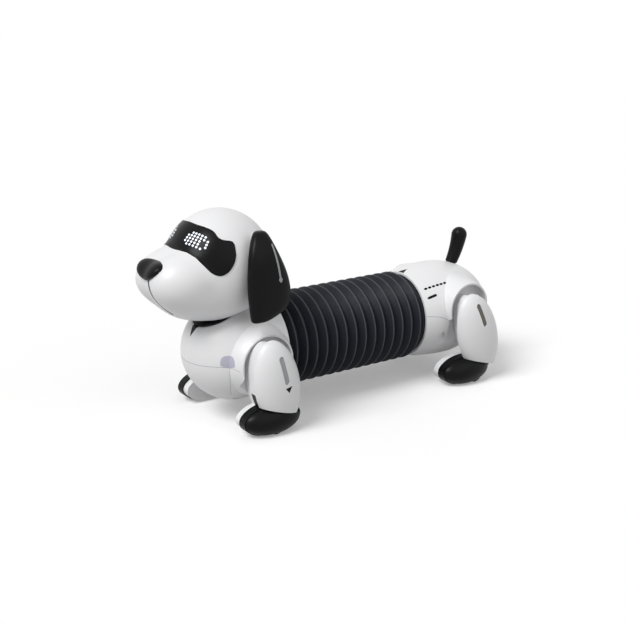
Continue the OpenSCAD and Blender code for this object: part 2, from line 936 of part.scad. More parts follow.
module cover_frame(k) {
    translate([hip[k][0] + cover_dx[k], cover_y, hip[k][1] + cover_dz[k]])
        rotate([0, cover_tilt[k], 0]) children();
}

// Egg whose flat middle lies on the leg; o is an inward offset, with poles to left and right
module cover_egg(k, o) {
    cover_frame(k) scale([cover_size[k][0] - o, cover_bulge - o, cover_size[k][1] - o])
        rotate([90, 0, 0]) sphere(1, $fn = 64);
}

// Space above (or below) the slanting line where the cover ends on the paw
module cover_foot_side(k, up) {
    translate([cover_foot[k][0], 0, cover_foot[k][1]]) rotate([0, -cover_foot_tilt, 0])
        translate([-80, up > 0 ? cover_y : cover_y - 1, up > 0 ? 0 : -80]) cube([160, 60, 80]);
}

slot_w = 5;
slot_l = [20, 18];
slot_dx = [-3.2, -2.5];
slot_dz = [14.3, 22];
slot_depth = 1;

module leg_cover(k) {
    color(white) difference() {
        intersection() {
            cover_egg(k, 0);
            cover_foot_side(k, 1);
        }
        cover_egg(k, 2);
        difference() {
            cover_frame(k) translate([slot_dx[k], 0, slot_dz[k]]) rotate([-90, 0, 0])
                linear_extrude(40) union() {
                    square([slot_w, slot_l[k]], center = true);
                    for (e = [-0.5, 0.5]) translate([0, e * slot_l[k]]) circle(d = slot_w);
                }
            cover_egg(k, slot_depth);
        }
    }
}

// Side view of the leg: an upright egg and a lying egg, shrunk by o
module leg_outline(k, o) {
    translate([hip[k][0] + cover_dx[k] + plate_dx[k], hip[k][1] + cover_dz[k]])
        rotate(-cover_tilt[k])
            scale([(plate_size[k][0] - o) / 10, (plate_size[k][1] - o) / 10]) circle(10);
    translate([paw_x[k], paw_z])
        scale([(paw_size[0] - o) / 10, (paw_size[1] - o) / 10]) circle(10);
}

// The outline is drawn in [x, z] and pulled along +Y
module leg_plate(k, o, y0, y1) {
    intersection() {
        translate([0, y1, 0]) rotate([90, 0, 0]) linear_extrude(y1 - y0) leg_outline(k, o);
        span([-300, y0 - 1, sole_z + o], [300, y1 + 1, 200]);
    }
}

module leg_core(k) {
    x = hip[k][0];
    color(black) difference() {
        union() {
            intersection() {
                leg_plate(k, 0, core_y, cover_y);
                span([-300, 0, 0], [300, 100, split_z[k]]);
            }
            intersection() {
                translate([paw_x[k], cover_y - 2, paw_z])
                    scale([paw_size[0] - 0.5, paw_out, paw_size[1] - 0.3])
                        rotate([90, 0, 0]) sphere(1, $fn = 64);
                cover_foot_side(k, -1);
                span([-300, cover_y - 1, sole_z], [300, 100, 60]);
            }
        }
        span([x - wheel_r - 1, wheel_y - wheel_w / 2 - 0.6, -1],
             [x + wheel_r + 1, wheel_y + wheel_w / 2 + 0.6, 2 * wheel_r + 1]);
        rod_y(x, wheel_r, core_y + 2, wheel_y + 7.6, axle_r + run_gap);
    }
}

// Hollow inner cover with a solid upper end that holds the shaft
module leg_inner(k) {
    x = hip[k][0];
    z = hip[k][1];
    color(white) difference() {
        union() {
            difference() {
                leg_plate(k, 1.2, inner_y, core_y);
                leg_plate(k, 3.2, inner_y + 2, core_y + 1);
            }
            rod_y(x, z, inner_y, core_y, 8);
            intersection() {
                leg_plate(k, 0, core_y - 1, cover_y);
                span([-300, 0, split_z[k]], [300, 100, 200]);
            }
        }
        rod_y(x, z, inner_y - 1, cover_y - 2, shaft_r);
    }
}

module leg_shaft(k) {
    color(steel) rod_y(hip[k][0], hip[k][1], 22, cover_y - 2.5, shaft_r);
}

module paw_wheel(k) {
    x = hip[k][0];
    w = wheel_w / 2;
    color(grey) {
        difference() {
            rod_y(x, wheel_r, wheel_y - w, wheel_y + w, wheel_r);
            for (y = [wheel_y - w - 1, wheel_y + w - 1]) difference() {
                rod_y(x, wheel_r, y, y + 2, wheel_r - 1.8);
                rod_y(x, wheel_r, y - 1, y + 3, 3);
            }
        }
        rod_y(x, wheel_r, core_y + 2.5, wheel_y + 7, axle_r);
    }
}

module front_left_cover() {
    leg_cover(0);
}

module front_left_core() {
    leg_core(0);
}

module front_left_inner() {
    leg_inner(0);
}

module front_left_shaft() {
    leg_shaft(0);
}

module front_left_wheel() {
    paw_wheel(0);
}

module front_right_cover() {
    mirror([0, 1, 0]) leg_cover(0);
}

module front_right_core() {
    mirror([0, 1, 0]) leg_core(0);
}

module front_right_inner() {
    mirror([0, 1, 0]) leg_inner(0);
}

module front_right_shaft() {
    mirror([0, 1, 0]) leg_shaft(0);
}

module front_right_wheel() {
    mirror([0, 1, 0]) paw_wheel(0);
}

module rear_left_cover() {
    leg_cover(1);
}

module rear_left_core() {
    leg_core(1);
}

module rear_left_inner() {
    leg_inner(1);
}

module rear_left_shaft() {
    leg_shaft(1);
}

module rear_left_wheel() {
    paw_wheel(1);
}

module rear_right_cover() {
    mirror([0, 1, 0]) leg_cover(1);
}

module rear_right_core() {
    mirror([0, 1, 0]) leg_core(1);
}

module rear_right_inner() {
    mirror([0, 1, 0]) leg_inner(1);
}

module rear_right_shaft() {
    mirror([0, 1, 0]) leg_shaft(1);
}

module rear_right_wheel() {
    mirror([0, 1, 0]) paw_wheel(1);
}

chest_upper_shell();
chest_lower_shell();
chest_window();
neck_collar();
neck_bush();
front_left_servo();
front_right_servo();
battery_pack();
battery_door();
main_board();
chest_screws();
front_frame();
bellows();
spine_pin();
rear_frame();
rump_upper_shell();
rump_lower_shell();
rump_window();
rear_left_servo();
rear_right_servo();
tail();
speaker();
switch_case();
power_switch();
charge_socket();
rump_screws();
face_shell();
head_back_shell();
visor();
left_eye_leds();
right_eye_leds();
nose();
left_ear();
right_ear();
ear_pins();
neck_post();
head_board();
front_left_cover();
front_left_core();
front_left_inner();
front_left_shaft();
front_left_wheel();
front_right_cover();
front_right_core();
front_right_inner();
front_right_shaft();
front_right_wheel();
rear_left_cover();
rear_left_core();
rear_left_inner();
rear_left_shaft();
rear_left_wheel();
rear_right_cover();
rear_right_core();
rear_right_inner();
rear_right_shaft();
rear_right_wheel();
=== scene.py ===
"""Looks of the toy robot dachshund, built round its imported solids.

The frame is that of the solids: metres, +X the nose, +Y the dog's left, +Z up.
Shapes are worked out in millimetres and scaled once, when a mesh is made.
"""

import json
import math

import bpy
import numpy as np
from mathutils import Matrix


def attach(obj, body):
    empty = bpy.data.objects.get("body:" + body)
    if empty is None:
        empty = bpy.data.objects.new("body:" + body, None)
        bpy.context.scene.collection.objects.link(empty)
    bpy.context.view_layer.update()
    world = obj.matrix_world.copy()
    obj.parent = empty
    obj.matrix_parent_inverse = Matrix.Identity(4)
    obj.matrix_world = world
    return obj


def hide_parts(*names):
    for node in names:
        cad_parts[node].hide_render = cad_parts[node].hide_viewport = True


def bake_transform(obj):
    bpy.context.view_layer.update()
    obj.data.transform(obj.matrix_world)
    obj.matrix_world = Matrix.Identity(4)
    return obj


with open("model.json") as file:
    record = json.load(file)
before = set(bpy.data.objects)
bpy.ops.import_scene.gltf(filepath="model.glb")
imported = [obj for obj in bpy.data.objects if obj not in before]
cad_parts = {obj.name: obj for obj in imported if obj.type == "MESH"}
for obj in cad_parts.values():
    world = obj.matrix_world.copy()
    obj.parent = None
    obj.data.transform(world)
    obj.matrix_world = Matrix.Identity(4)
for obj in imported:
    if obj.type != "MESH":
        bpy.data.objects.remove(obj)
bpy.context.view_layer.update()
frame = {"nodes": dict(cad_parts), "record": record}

MM = 0.001
SIDES = {"left": 1.0, "right": -1.0}


# Meshes

def ring_skin(rings, ends=None, loop=False):
    """Points and faces of a skin over a grid of points, rows by columns.

    Each row closes round on itself. The first and last rows close on the two
    end points, or on each other where the skin is a loop.
    """
    n, m, _ = rings.shape
    i = np.arange(n if loop else n - 1)[:, None]
    j = np.arange(m)[None, :]
    here, there = i * m, (i + 1) % n * m
    quads = np.stack(
        [here + j, here + (j + 1) % m, there + (j + 1) % m, there + j], -1
    ).reshape(-1, 4)
    points = rings.reshape(-1, 3)
    tris = np.zeros((0, 3), int)
    if ends is not None:
        points = np.vstack([points, ends])
        k = np.arange(m)
        k1 = (k + 1) % m
        last = (n - 1) * m
        tris = np.vstack([
            np.stack([np.full(m, n * m), k1, k], -1),
            np.stack([np.full(m, n * m + 1), last + k, last + k1], -1),
        ])
    return outwards(points, quads, tris)


def outwards(points, quads, tris):
    """Turns all faces round if the volume that they enclose comes out negative."""
    flat = np.vstack([tris, quads[:, [0, 1, 2]], quads[:, [0, 2, 3]]])
    p = points[flat] - points.mean(0)
    if np.einsum("ij,ij->", p[:, 0], np.cross(p[:, 1], p[:, 2])) < 0:
        return points, quads[:, ::-1], tris[:, ::-1]
    return points, quads, tris


def make(name, skins, body, finish, nodes=(), sharp=40.0, crest_highlight=None):
    """One piece from closed skins: a smooth mesh that rides on a body.

    The value for a painted highlight, one for each point, is kept on the mesh
    for its finish.
    """
    points, faces, start = [], [], 0
    for p, quads, tris in skins:
        points.append(p)
        faces += (quads + start).tolist() + (tris + start).tolist()
        start += len(p)
    mesh = bpy.data.meshes.new(name)
    mesh.from_pydata((np.vstack(points) * MM).tolist(), [], faces)
    mesh.polygons.foreach_set("use_smooth", np.ones(len(faces), bool))
    mesh.set_sharp_from_angle(angle=math.radians(sharp))
    if crest_highlight is not None:
        mesh.attributes.new("crest_highlight", "FLOAT", "POINT").data.foreach_set("value", crest_highlight)
    mesh.materials.append(finish)
    piece = bpy.data.objects.new(name, mesh)
    bpy.context.scene.collection.objects.link(piece)
    if body is not None:
        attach(piece, body)
    if nodes:
        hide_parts(*nodes)
    return piece


def turned(rings, side):
    """The same points on the left (side 1) or mirrored to the right (side -1)."""
    return rings * np.array([1.0, side, 1.0])


def softened(points, closed, rounds=4):
    """Corners cut off a line of points again and again, a quarter from each end."""
    for _ in range(rounds):
        a, b = (points, np.roll(points, -1, 0)) if closed else (points[:-1], points[1:])
        cut = np.stack([0.75 * a + 0.25 * b, 0.25 * a + 0.75 * b], 1).reshape(-1, 3)
        points = cut if closed else np.vstack([points[:1], cut, points[-1:]])
    return points


# Section of a laid line: places across its half width, and heights over its lift
ARCH_U = np.array([-1, -0.95, -0.6, 0, 0.6, 0.95, 1, 0])
ARCH_H = np.array([-1, 0.5, 0.95, 1, 0.95, 0.5, -1, -1.5])


def ribbon(path, lay, width, lift=0.12):
    """Thin line laid on a surface: one low arch drawn along a path.

    lay puts points on the surface and lifts them; the arch's ends close on
    points half a width further along the path.
    """
    mid = lay(softened(np.array(path, float), False), 0.0)
    along = unit(np.gradient(mid, axis=0))
    out = unit(lay(mid, 1.0) - mid)
    across = np.cross(along, out) * width / 2
    rings = lay(mid[:, None] + ARCH_U[:, None] * across[:, None], lift * ARCH_H)
    tips = mid[[0, -1]] + np.array([[-1], [1]]) * along[[0, -1]] * width / 2
    return ring_skin(rings, lay(tips, 0.0))


# Rings of a laid cushion: sizes against the outline, the depth of the three at its
# foot, and the heights of the others over its lift
PAD_SIZE = np.array([0.4, 0.8, 1.0, 1.0, 0.985, 0.95, 0.85, 0.7, 0.5, 0.25])
PAD_FOOT = -0.3
PAD_RISE = np.array([0.4, 0.85, 1, 1, 1, 1, 1])


def pad(outline, lay, lift=0.15):
    """Low flat cushion on a surface: its outline drawn in towards the middle.

    The first rings run out below the surface, the rest come back over the top.
    """
    outline = np.array(outline, float)
    middle = outline.mean(0)
    h = np.concatenate([[PAD_FOOT] * 3, PAD_RISE * lift])
    rings = lay(middle + PAD_SIZE[:, None, None] * (outline - middle), h[:, None])
    ends = np.vstack([lay(middle, PAD_FOOT), lay(middle, lift)])
    return ring_skin(rings, ends)


# Finishes: every one has a slow change of colour, a change of gloss and a fine grain

COAT_ROUGH = 0.12
GLOSS_LOW, GLOSS_HIGH = 0.85, 1.2
GLOSS_SCALE, GRAIN_SCALE = 7, 45
GRAIN_HEIGHT = 0.00008
# share of the height from root to ridge where the bellows' painted highlight begins
CREST_HIGHLIGHT_FROM = 0.86
SIDE_GLOW = 0.06
FADE_FROM, FADE_TO = 0.5, 0.8


def finish(name, colour, rough, tint=0.04, grain=0.15, scale=40.0, metallic=0.0,
           coat=0.0, glow=0.0, shine=0.5, crest_highlight=None):
    """Moulded or machined surface on Object coordinates.

    A slow noise moves the colour by tint, a finer one the roughness, and the
    finest lifts the surface by a few microns. Where a mesh carries a value for
    a painted highlight, the colour goes over to the highlight's as it nears one.
    A surface that glows fades as it is seen more from its side.
    """
    mat = bpy.data.materials.new(name)
    mat.use_nodes = True
    tree = mat.node_tree
    shader = tree.nodes["Principled BSDF"]
    shader.inputs["Metallic"].default_value = metallic
    shader.inputs["Coat Weight"].default_value = coat
    shader.inputs["Coat Roughness"].default_value = COAT_ROUGH
    shader.inputs["Specular IOR Level"].default_value = shine
    place = tree.nodes.new("ShaderNodeTexCoord").outputs["Object"]

    def noise(size, detail):
        node = tree.nodes.new("ShaderNodeTexNoise")
        node.inputs["Scale"].default_value = size
        node.inputs["Detail"].default_value = detail
        tree.links.new(place, node.inputs["Vector"])
        return node.outputs["Fac"]

    def blend(factor, one, other):
        mix = tree.nodes.new("ShaderNodeMix")
        mix.data_type = "RGBA"
        tree.links.new(factor, mix.inputs["Factor"])
        for socket, value in (("A", one), ("B", other)):
            if isinstance(value, tuple):
                mix.inputs[socket].default_value = (*value, 1)
            else:
                tree.links.new(value, mix.inputs[socket])
        return mix.outputs["Result"]

    dark = tuple(c * (1 - tint) for c in colour)
    bright = tuple(min(1.0, c * (1 + tint / 2)) for c in colour)
    base = blend(noise(scale, 3), dark, bright)
    # painted highlight: a lighter colour where the mesh's value nears one
    if crest_highlight is not None:
        value = tree.nodes.new("ShaderNodeAttribute")
        value.attribute_name = "crest_highlight"
        ramp = tree.nodes.new("ShaderNodeMapRange")
        ramp.inputs["From Min"].default_value = CREST_HIGHLIGHT_FROM
        ramp.inputs["From Max"].default_value = 1.0
        tree.links.new(value.outputs["Fac"], ramp.inputs["Value"])
        base = blend(ramp.outputs["Result"], base, crest_highlight)

    gloss = tree.nodes.new("ShaderNodeMapRange")
    gloss.inputs["To Min"].default_value = rough * GLOSS_LOW
    gloss.inputs["To Max"].default_value = min(1.0, rough * GLOSS_HIGH)
    tree.links.new(noise(scale * GLOSS_SCALE, 2), gloss.inputs["Value"])
    tree.links.new(gloss.outputs["Result"], shader.inputs["Roughness"])

    bump = tree.nodes.new("ShaderNodeBump")
    bump.inputs["Strength"].default_value = grain
    bump.inputs["Distance"].default_value = GRAIN_HEIGHT
    tree.links.new(noise(scale * GRAIN_SCALE, 2), bump.inputs["Height"])
    tree.links.new(bump.outputs["Normal"], shader.inputs["Normal"])

    if glow:
        slant = tree.nodes.new("ShaderNodeLayerWeight")
        fade = tree.nodes.new("ShaderNodeMapRange")
        fade.inputs["From Min"].default_value = FADE_FROM
        fade.inputs["From Max"].default_value = FADE_TO
        tree.links.new(slant.outputs["Facing"], fade.inputs["Value"])
        base = blend(fade.outputs["Result"], base, tuple(c * SIDE_GLOW for c in colour))
    tree.links.new(base, shader.inputs["Base Color"])
    if glow:
        tree.links.new(base, shader.inputs["Emission Color"])
        shader.inputs["Emission Strength"].default_value = glow
    return mat


white = finish("white_plastic", (0.80, 0.80, 0.81), 0.42, tint=0.012, grain=0.05, coat=0.1)
black = finish("black_plastic", (0.0045, 0.0046, 0.005), 0.34, tint=0.2, grain=0.08,
               shine=0.11)
mask = finish("mask_black", (0.004, 0.004, 0.0046), 0.30, tint=0.2, grain=0.06, shine=0.11)
# the bellows' last colour is a painted highlight along each rib's ridge
rubber = finish("bellows_rubber", (0.0095, 0.011, 0.0165), 0.50, tint=0.15, grain=0.2,
                shine=0.16, crest_highlight=(0.070, 0.073, 0.086))
light = finish("eye_light", (0.86, 0.90, 0.97), 0.3, tint=0.02, grain=0.05, glow=0.35)
grey = finish("grey_plastic", (0.20, 0.21, 0.23), 0.5, tint=0.06)
# pale grey print on the ears, also painted shade on the front slots' floors
pale_print_and_slot_shade = finish("pale_grey_print_and_slot_shade", (0.34, 0.35, 0.37), 0.5, tint=0.06)
lavender = finish("lavender_print", (0.47, 0.46, 0.56), 0.45, tint=0.05)
# brown grey painted shade on the rear slots' floors
slot_shade_brown = finish("brown_grey_slot_shade", (0.12, 0.10, 0.085), 0.5, tint=0.08)
line = finish("parting_line", (0.42, 0.42, 0.44), 0.6, tint=0.05)
roller = finish("roller_grey", (0.05, 0.05, 0.055), 0.7, tint=0.1, grain=0.3)
steel = finish("steel", (0.60, 0.60, 0.62), 0.32, tint=0.06, grain=0.1, metallic=1.0)
board = finish("board_green", (0.03, 0.20, 0.08), 0.4, tint=0.1)
sleeve = finish("battery_sleeve", (0.08, 0.20, 0.50), 0.4, tint=0.06)

FINISHES = {
    "white_plastic": white, "black_plastic": black, "mask_black": mask,
    "bellows_rubber": rubber, "eye_light": light, "grey_plastic": grey,
    "roller_grey": roller, "steel": steel, "board_green": board,
    "battery_sleeve": sleeve,
}

for part in frame["record"]["subparts"]:
    node = frame["nodes"][part["node"]]
    node.data.materials.clear()
    node.data.materials.append(FINISHES[part["material_slot"]])


# Head: middle and half sizes of the ellipsoids that melt into it, and its leaning seat

SKULL = (np.array([115.0, 0, 140]), np.array([46.5, 45.5, 48]))
LOBES = [(np.array([154.0, y, 133]), np.array([31.5, 24, 23.5])) for y in (13, -13)]
CHIN = (np.array([140.0, 0, 120]), np.array([34.0, 35, 24]))
HEAD_C = np.array([131.0, 0, 133])
CHEST_C = np.array([104.0, 0, 62])
NECK_TILT = math.radians(23.8)
NECK = np.array([math.sin(NECK_TILT), 0, math.cos(NECK_TILT)])
HEAD_FLOOR = 40.7
MELT = 10
FLOOR_MELT = 120
WALL = 2.2
SEAM, SEAM_BAND = 111.0, 3.0
SEAM_DEEP, SEAM_WIDE = 0.07, 0.45
BACK_LIFT = -0.3
FACE_R = 46


def reach(d, middle, half, start=HEAD_C):
    """Distance from a start inside an ellipsoid along each direction to its skin.

    The positive root of the quadratic got by putting the ray, scaled by the
    half sizes, on the unit sphere.
    """
    q = d / half
    p = (start - middle) / half
    a = (q * q).sum(-1)
    b = (q * p).sum(-1)
    k = p @ p - 1
    return (np.sqrt(b * b - a * k) - b) / a


def head_reach(d, inset=0.0):
    """Skull, two muzzle lobes and chin melted together above the flat neck seat.

    The tenth root of the sum of the tenth powers of the four reaches, then a
    soft minimum with the reach to the seat's plane.
    """
    r = sum(reach(d, c, s - inset) ** MELT for c, s in (SKULL, *LOBES, CHIN))
    r = r ** (1 / MELT)
    drop = np.maximum(-(d @ NECK), 1e-3)
    seat = ((HEAD_C - CHEST_C) @ NECK - HEAD_FLOOR - inset) / drop
    return (r ** -FLOOR_MELT + seat ** -FLOOR_MELT) ** (-1 / FLOOR_MELT)


def polar(th, ph):
    """Directions at th degrees from the nose and ph degrees round it."""
    th, ph = np.radians(th), np.radians(ph)
    return np.stack([
        np.cos(th) + 0 * ph, np.sin(th) * np.sin(ph), np.sin(th) * np.cos(ph)
    ], -1)


def unit(v):
    """Vectors scaled to length one."""
    return v / np.linalg.norm(v, axis=-1, keepdims=True)


def looking(az, el):
    """Directions at a turn az to the left and a height el, in degrees."""
    az, el = np.radians(az), np.radians(el)
    return np.stack([np.cos(el) * np.cos(az), np.cos(el) * np.sin(az), np.sin(el)], -1)


def face_point(az, el, up=0.0):
    """Head surface under a place on a ball round the skull's middle.

    The ray from the head's middle through that place meets the skin, and up is
    added along the ray.
    """
    d = unit(SKULL[0] + FACE_R * looking(az, el) - HEAD_C)
    return HEAD_C + d * (head_reach(d) + up)[..., None]


def head_cap(pole, rows, cols):
    """Cap of the head from its pole to the seam and back along the inner wall.

    Polar grid about the nose axis. Near the seam the outer skin sinks by a
    narrow bell curve, which leaves a fine groove where the two caps meet.
    """
    sign = 1 if pole < SEAM else -1
    far = np.linspace(pole, SEAM - SEAM_BAND * sign, rows)[1:]
    near = np.linspace(SEAM - SEAM_BAND * sign, SEAM, 16)[1:]
    th = np.concatenate([far, near])[:, None]
    ph = np.arange(cols)[None, :] * 360 / cols
    d = polar(th, ph)
    dent = SEAM_DEEP * np.exp(-(((th - SEAM) / SEAM_WIDE) ** 2))
    outer = HEAD_C + d * (head_reach(d) - dent)[..., None]
    back = np.linspace(SEAM, pole, 40)[:-1][:, None]
    d = polar(back, ph)
    inner = HEAD_C + d * head_reach(d, WALL)[..., None]
    tip = polar(np.array([pole]), np.array([0.0]))
    ends = np.vstack([
        HEAD_C + tip * head_reach(tip)[..., None],
        HEAD_C + tip * head_reach(tip, WALL)[..., None],
    ])
    return ring_skin(np.concatenate([outer, inner]), ends)


def rod(start, along, across, radius, length, segments=48, soft=0.4):
    """Round rod with softened ends: circles along a straight line."""
    start, along, across = (np.array(v, float) for v in (start, along, across))
    other = np.cross(along, across)
    at = np.array([0, 0.3 * soft, soft, length - soft, length - 0.3 * soft, length])
    r = radius - soft + np.array([0, 0.7, 1, 1, 0.7, 0]) * soft
    a = np.arange(segments) * 2 * np.pi / segments
    rim = np.cos(a)[:, None] * across + np.sin(a)[:, None] * other
    rings = start + at[:, None, None] * along + r[:, None, None] * rim[None]
    return ring_skin(rings, np.vstack([start, start + length * along]))


make("face_moulding", [head_cap(0.0, rows=170, cols=240)], "head",
     white, ["face_shell"])

EAR_PIN = (99.0, 166.0)
BOSS_Y, BOSS_R, BOSS_L = 27, 5.0, 14.6
bosses = [
    rod((EAR_PIN[0], s * BOSS_Y, EAR_PIN[1]), (0, s, 0), (1, 0, 0), BOSS_R, BOSS_L)
    for s in SIDES.values()
]
make("head_back_moulding", [head_cap(180.0, rows=100, cols=240), *bosses], "head",
     white, ["head_back_shell"])

# Mask outline from the skull's middle: turn, lowest and highest, in degrees
MASK_EDGE = np.array([
    [0, 22.5, 55.2], [12, 22.5, 54.6], [24, 21.5, 53.4], [35, 17.5, 52.3], [45, 9.5, 50.3],
    [51, 4, 48], [55, 1.8, 45.5], [58, 0.8, 41.5], [61, 0.4, 39.3], [65, 1.2, 37.8],
    [70, 4.2, 37], [74, 9, 36.6], [77, 14.5, 35.6], [78.5, 20, 32.5], [79.3, 26.2, 26.6],
])
MASK_END, MASK_END_HEIGHT = 79.3, 26.4
MASK_OUT = 0.9
MASK_ROUND = 1.1
MM_PER_DEG = (0.82, 0.75)
EASE_DEG, EASE_END, EASE_COUNT = 2.5, 6, 21


def eased(turn, column):
    """Outline read off between its points and evened over a few degrees.

    The weights are one wave of a raised cosine, whose span shrinks to nothing
    at the mask's end.
    """
    at = np.abs(turn)[:, None] + np.linspace(-EASE_DEG, EASE_DEG, EASE_COUNT)[None, :]
    at = np.minimum(np.abs(at), MASK_END)
    weight = 1 + np.cos(np.linspace(-np.pi, np.pi, EASE_COUNT))
    spread = np.clip((MASK_END - np.abs(turn)) / EASE_END, 0, 1)[:, None]
    at = np.abs(turn)[:, None] + (at - np.abs(turn)[:, None]) * spread
    value = np.interp(at, MASK_EDGE[:, 0], MASK_EDGE[:, column])
    return (value * weight).sum(1) / weight.sum()


def mask_plate():
    """Mask that lies on the face: closed slices from temple to temple.

    Each slice runs over the outside between the two outlines and back below.
    The lift is a quarter circle of the distance to the nearest edge.
    """
    a = np.linspace(-1, 1, 321)[1:-1]
    turn = MASK_END * np.sin(a * np.pi / 2)
    low, high = eased(turn, 1)[:, None], eased(turn, 2)[:, None]
    w = (1 - np.cos(np.linspace(0, np.pi, 61))) / 2
    el = low + (high - low) * w[None, :]
    side = np.minimum(w, 1 - w)[None, :] * (high - low) * MM_PER_DEG[0]
    end = (MASK_END - np.abs(turn))[:, None] * MM_PER_DEG[1]
    edge = np.clip(np.minimum(side, end + 0 * side) / MASK_ROUND, 0, 1)
    lift = (MASK_OUT - BACK_LIFT) * np.sqrt(1 - (1 - edge) ** 2) + BACK_LIFT
    az = turn[:, None] + 0 * el
    outer = face_point(az, el, lift)
    back = w[::-1][1:-1:4]
    el_in = low + (high - low) * back[None, :]
    inner = face_point(turn[:, None] + 0 * el_in, el_in, np.full(el_in.shape, BACK_LIFT))
    tips = face_point(np.array([-MASK_END, MASK_END]), np.full(2, MASK_END_HEIGHT),
                      np.full(2, BACK_LIFT))
    return ring_skin(np.concatenate([outer, inner], 1), tips)


make("mask", [mask_plate()], "head", mask, ["visor"])

# Light dots of an eye: columns from the face's middle, rows from the top, and the
# places without a dot; then the profile of one dot, shares of its radius and heights
EYE_COLUMNS, EYE_ROWS = 7, 5
EYE_GAPS = {(0, 0), (6, 0), (5, 2), (5, 3), (0, 4), (6, 4)}
EYE_TURN, COLUMN_STEP, ROW_LEAN = 19.3, 4.8, -1.15
EYE_HEIGHT, ROW_STEP, COLUMN_FALL = 43.9, -3.05, (-0.05, -0.15)
DOT_R, DOT_FOOT, DOT_TOP = 1.05, -0.6, 1.61
DOT_SHARES = np.array([1, 1, 0.94, 0.75, 0.42])
DOT_HEIGHTS = np.array([0, 1.40, 1.50, 1.56, 1.60])


def eye_dots(side):
    """Round light dots: one dome profile turned about each dot's own axis."""
    spots = np.array([
        (EYE_TURN + COLUMN_STEP * c + ROW_LEAN * r,
         EYE_HEIGHT + ROW_STEP * r + COLUMN_FALL[1] * c * c + COLUMN_FALL[0] * c)
        for c in range(EYE_COLUMNS) for r in range(EYE_ROWS) if (c, r) not in EYE_GAPS
    ])
    foot = face_point(spots[:, 0], spots[:, 1], np.full(len(spots), DOT_FOOT))
    out = looking(spots[:, 0], spots[:, 1])
    right = unit(np.cross(np.array([0, 0, 1.0]), out))
    up = np.cross(out, right)
    a = np.arange(20) * 2 * np.pi / 20
    r = DOT_R * DOT_SHARES
    rim = np.cos(a)[:, None] * right[:, None] + np.sin(a)[:, None] * up[:, None]
    rings = (foot[:, None, None] + DOT_HEIGHTS[None, :, None, None] * out[:, None, None]
             + r[None, :, None, None] * rim[:, None])
    tops = foot + DOT_TOP * out
    return [
        ring_skin(turned(ring, side), turned(np.vstack([low, top]), side))
        for ring, low, top in zip(rings, foot, tops)
    ]


for word, side in SIDES.items():
    make(f"{word}_eye_dots", eye_dots(side), "head", light,
         [f"{word}_eye_leds"])

NOSE_AZ, NOSE_LOW, NOSE_HIGH, NOSE_OUT = 19.0, 3.0, 23.0, 4.6
NOSE_WIDEN, NOSE_RIM, NOSE_FLAT = 0.36, 0.4, 2.8


def nose_button():
    """Rounded triangle, thickest in the middle.

    Circles of a unit disc, widened towards the top, laid on the muzzle and
    lifted by a flattened dome; the same circles close the back.
    """
    rho = np.sin(np.linspace(0, np.pi / 2, 40))[1:, None]
    a = np.arange(120)[None, :] * 2 * np.pi / 120

    def laid(rho, lift):
        s, t = rho * np.cos(a), rho * np.sin(a)
        az = NOSE_AZ * s * (1 + NOSE_WIDEN * t)
        el = (NOSE_LOW + NOSE_HIGH + (NOSE_HIGH - NOSE_LOW) * t) / 2
        d = looking(az, el)
        return HEAD_C + d * (head_reach(d) + lift)[..., None]

    rise = NOSE_RIM + NOSE_OUT * np.sqrt(1 - np.minimum(rho, 1) ** NOSE_FLAT)
    outer = laid(rho, rise + 0 * a)
    inner = laid(rho[::-4], BACK_LIFT + 0 * a)
    d = looking(np.array([0.0]), np.array([(NOSE_LOW + NOSE_HIGH) / 2]))
    middle = head_reach(d)
    ends = HEAD_C + np.vstack([
        d * (middle + NOSE_RIM + NOSE_OUT), d * (middle + BACK_LIFT)
    ])
    return ring_skin(np.concatenate([outer, inner]), ends)


make("nose_button", [nose_button()], "head", black, ["nose"])

EAR_TOP, EAR_LOW = 174.5, 99.5
EAR_FRONT, EAR_REAR, EAR_HIGH = 118.0, 77.0, 99.0
EAR_T, EAR_GAP, EAR_RAISE = 14.0, 1.4, 5
EAR_BOW, EAR_TOE = 1.0, 5
EAR_SWEEP, EAR_HEM = 106, 18
EAR_LEAN, EAR_TAPER, EAR_ROUND = 0.71, 0.42, 0.8


def ear_in(z):
    """Inner side of the ear: the skull's own ellipse, raised a little, plus a gap."""
    h = np.maximum(z - SKULL[0][2] - EAR_RAISE, 0)
    return SKULL[1][1] * np.sqrt(1 - (h / SKULL[1][2]) ** 2) + EAR_GAP


def ear_slices(q):
    """Height, front edge, rear edge, end taper and middle depth of level slices.

    q runs from 0 at the top to 1 at the bottom. The front edge bows by half a
    sine wave and toes out with the fifth power of q. The rear edge sweeps back
    as a sine and comes in again as a square over the last fifth. Both lean with
    the skull, and the ends taper as a power of a half circle.
    """
    z = EAR_TOP - (EAR_TOP - EAR_LOW) * q
    front = EAR_FRONT + EAR_BOW * np.sin(np.pi * q) + EAR_TOE * q ** 5
    rear = (EAR_HIGH - (EAR_HIGH - EAR_REAR) * np.sin(np.radians(EAR_SWEEP * q))
            + EAR_HEM * np.maximum(0, 5 * q - 4) ** 2)
    lean = EAR_LEAN * (ear_in(z) - ear_in(0.0))
    taper = (2 * np.sqrt(q * (1 - q))) ** EAR_TAPER
    return z, front + lean, rear + lean, taper, ear_in(z) + EAR_T / 2


def on_ear(p, up):
    """Points of the left ear's outer side above given places, lifted by up."""
    z, front, rear, taper, y = ear_slices((EAR_TOP - p[..., 2]) / (EAR_TOP - EAR_LOW))
    c = np.clip((p[..., 0] - (front + rear) / 2) / ((front - rear) / 2 * taper), -1, 1)
    rise = (1 - np.abs(c) ** (2 / EAR_ROUND)) ** (EAR_ROUND / 2)
    return np.stack([p[..., 0], y + EAR_T / 2 * taper * rise + up, z], -1)


